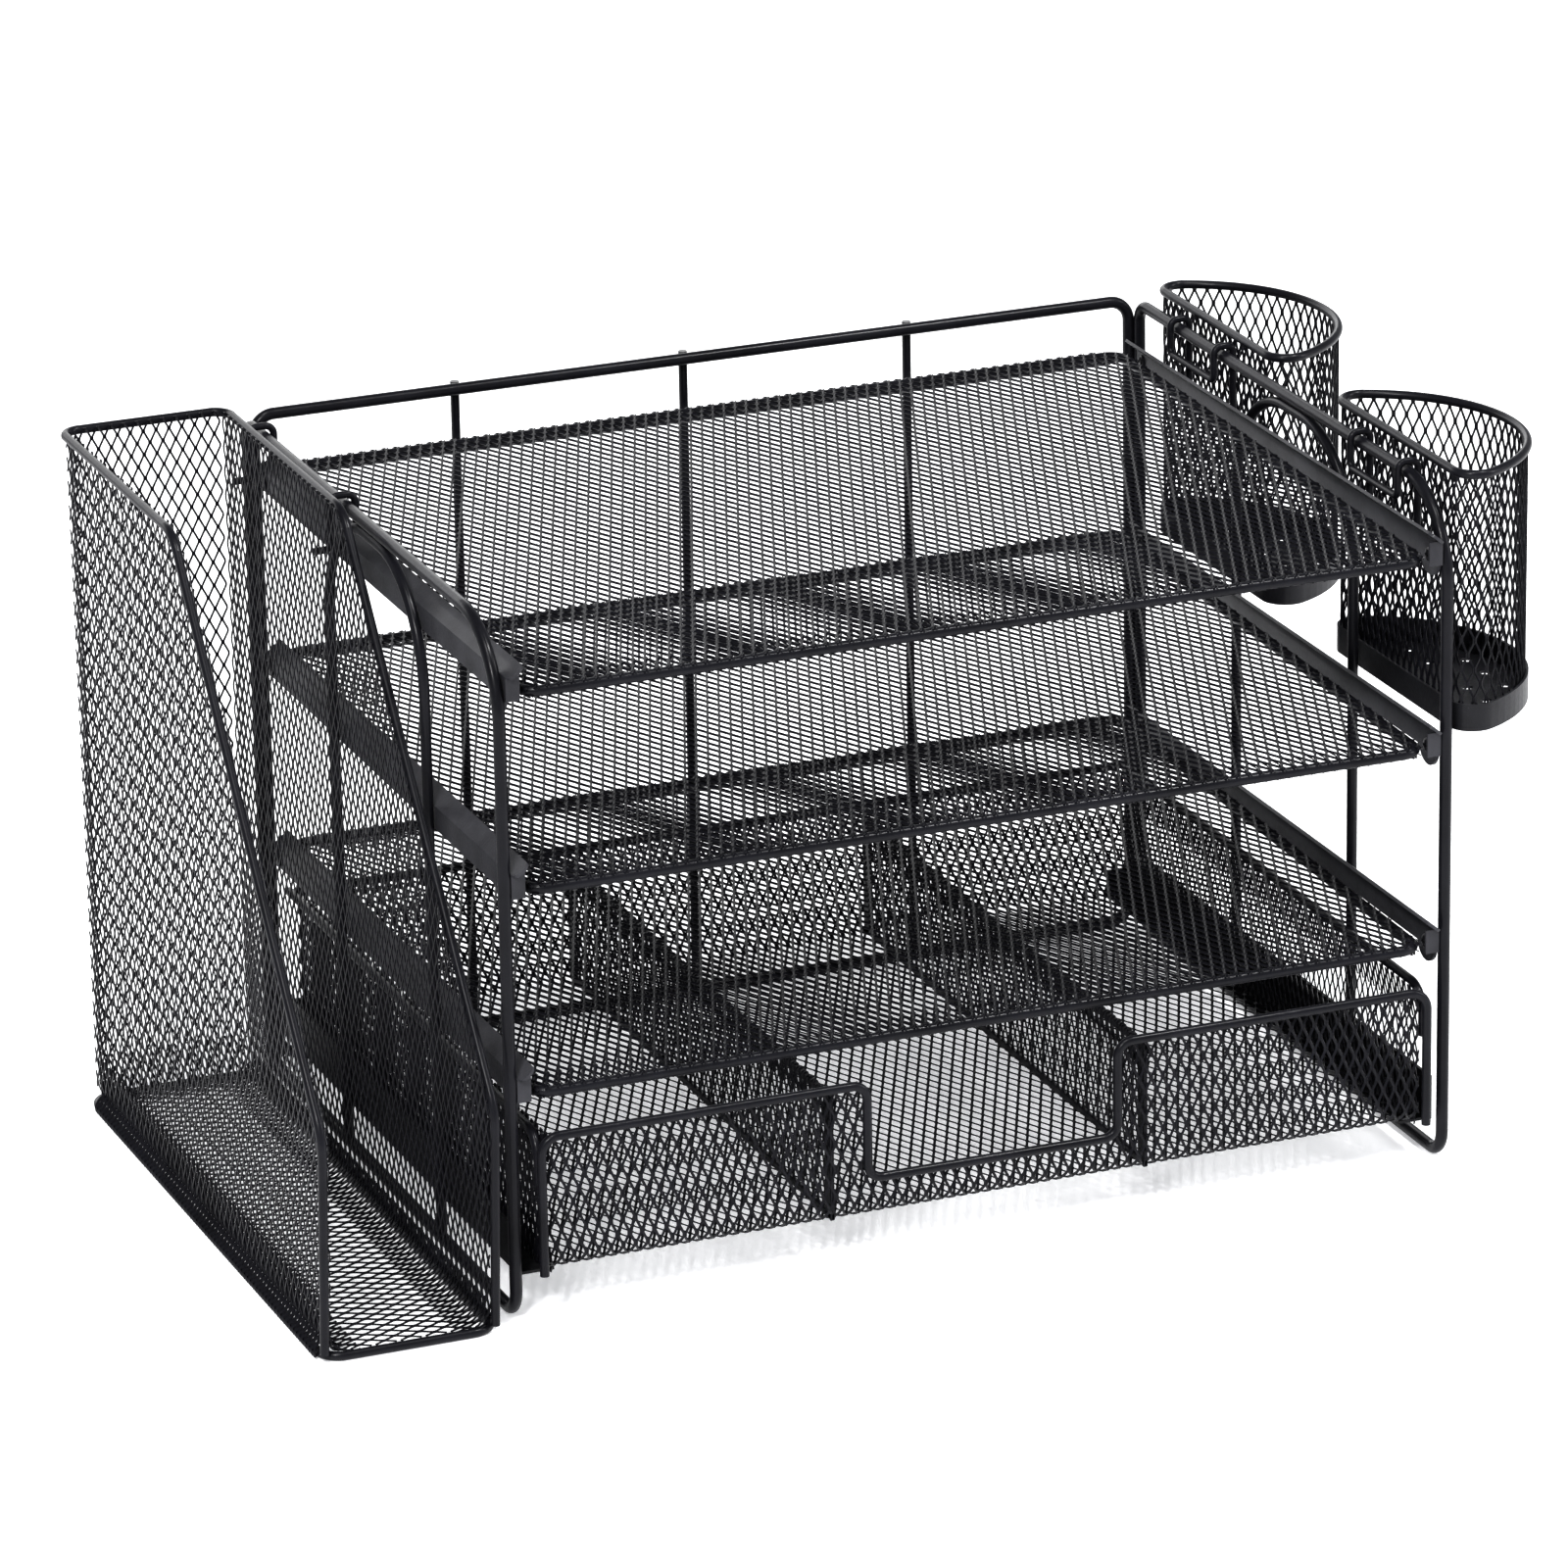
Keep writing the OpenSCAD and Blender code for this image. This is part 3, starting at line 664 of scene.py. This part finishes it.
# ---------------------------------------------------------------- camera
AZ, EL, ROLL = math.radians(-21.64), math.radians(19.71), math.radians(1.03)
TARGET = (-20.3, 0.0, 118.0)  # mm from the middle of the main frame
DISTANCE = 2731.0
FOCAL_PX, IMAGE_PX, SENSOR = 8578.0, 1600, 36

back = Vector((math.sin(AZ) * math.cos(EL), -math.cos(AZ) * math.cos(EL), math.sin(EL)))
right = Vector((math.cos(AZ), math.sin(AZ), 0))
level_up = back.cross(right)
cam_x = right * math.cos(ROLL) - level_up * math.sin(ROLL)
cam_y = right * math.sin(ROLL) + level_up * math.cos(ROLL)
target = Vector((TARGET[0] + SHIFT[0], TARGET[1] + SHIFT[1], TARGET[2]))
at = (target + back * DISTANCE) * MM
cam_data = bpy.data.cameras.new("camera")
cam_data.lens = FOCAL_PX / IMAGE_PX * SENSOR
cam_data.sensor_width = SENSOR
cam_data.clip_start = 0.1
cam_data.clip_end = 100
cam = bpy.data.objects.new("camera", cam_data)
bpy.context.scene.collection.objects.link(cam)
cam.matrix_world = Matrix([[cam_x[i], cam_y[i], back[i], at[i]] for i in range(3)]
                          + [[0, 0, 0, 1]])
bpy.context.scene.camera = cam

# ---------------------------------------------------------------- stage
FLOOR_HALF = 20  # m
FLOOR_PAINTED_LIGHT = 0.38  # painted light: the floor glows, so it stays white in the shade under the mesh
LAMP_AIM = (0, 0, 0.1)
LAMPS = (  # name, place in m, width and height in m, power in W
    ("back", (-0.3, 2.3, 0.95), (3.2, 1.1), 34),
    ("key", (-1.1, -1.3, 1.5), (0.4, 0.4), 30),
    ("top", (0.65, -0.5, 1.6), (0.3, 0.15), 16),
    ("side", (1.7, -0.7, 1.0), (0.5, 1.0), 14),
)
SUN_POWER, SUN_ANGLE, SUN_FROM = 1.4, 16, (-0.25, -0.35, 1)

scene = bpy.context.scene
scene.view_settings.view_transform = "Standard"
scene.view_settings.look = "Medium High Contrast"
me = bpy.data.meshes.new("floor")
h = FLOOR_HALF
me.from_pydata([(-h, -h, 0), (h, -h, 0), (h, h, 0), (-h, h, 0)], [], [(0, 1, 2, 3)])
floor = bpy.data.objects.new("floor", me)
scene.collection.objects.link(floor)
fm = bpy.data.materials.new("floor_paint_and_painted_glow")
fm.use_nodes = True
fb = fm.node_tree.nodes["Principled BSDF"]
fb.inputs["Base Color"].default_value = (0.93, 0.93, 0.94, 1)
fb.inputs["Roughness"].default_value = 0.9
fb.inputs["Specular IOR Level"].default_value = 0.1
# Painted light: the floor glows though it is no lamp, which lightens the object's shadow on it and
# lights the object from below.
fb.inputs["Emission Color"].default_value = (0.97, 0.98, 1.0, 1)
fb.inputs["Emission Strength"].default_value = FLOOR_PAINTED_LIGHT
me.materials.append(fm)

world = bpy.data.worlds.new("world")
scene.world = world
world.use_nodes = True
wn, wl = world.node_tree.nodes, world.node_tree.links
bg = wn["Background"]
bg.inputs[1].default_value = 1.0
# Pale near the horizon and dark above, so that the coat stays black.
direction = wn.new("ShaderNodeTexCoord")
split = wn.new("ShaderNodeSeparateXYZ")
sky = wn.new("ShaderNodeValToRGB")
wl.new(direction.outputs["Generated"], split.inputs[0])
wl.new(split.outputs["Z"], sky.inputs[0])
wl.new(sky.outputs[0], bg.inputs[0])
sky.color_ramp.elements[0].position = 0.3
sky.color_ramp.elements[0].color = (0.45, 0.46, 0.48, 1)
sky.color_ramp.elements[1].position = 0.6
sky.color_ramp.elements[1].color = (0.07, 0.07, 0.075, 1)

for name, place, size, power in LAMPS:
    d = bpy.data.lights.new(name, "AREA")
    d.shape = "RECTANGLE"
    d.size, d.size_y = size
    d.energy = power
    o = bpy.data.objects.new(name, d)
    scene.collection.objects.link(o)
    o.location = place
    o.rotation_euler = (Vector(LAMP_AIM) - Vector(place)).to_track_quat("-Z", "Y").to_euler()

sun_data = bpy.data.lights.new("sun", "SUN")
sun_data.energy = SUN_POWER
sun_data.angle = math.radians(SUN_ANGLE)
sun = bpy.data.objects.new("sun", sun_data)
scene.collection.objects.link(sun)
sun.rotation_euler = Vector(SUN_FROM).to_track_quat("Z", "Y").to_euler()
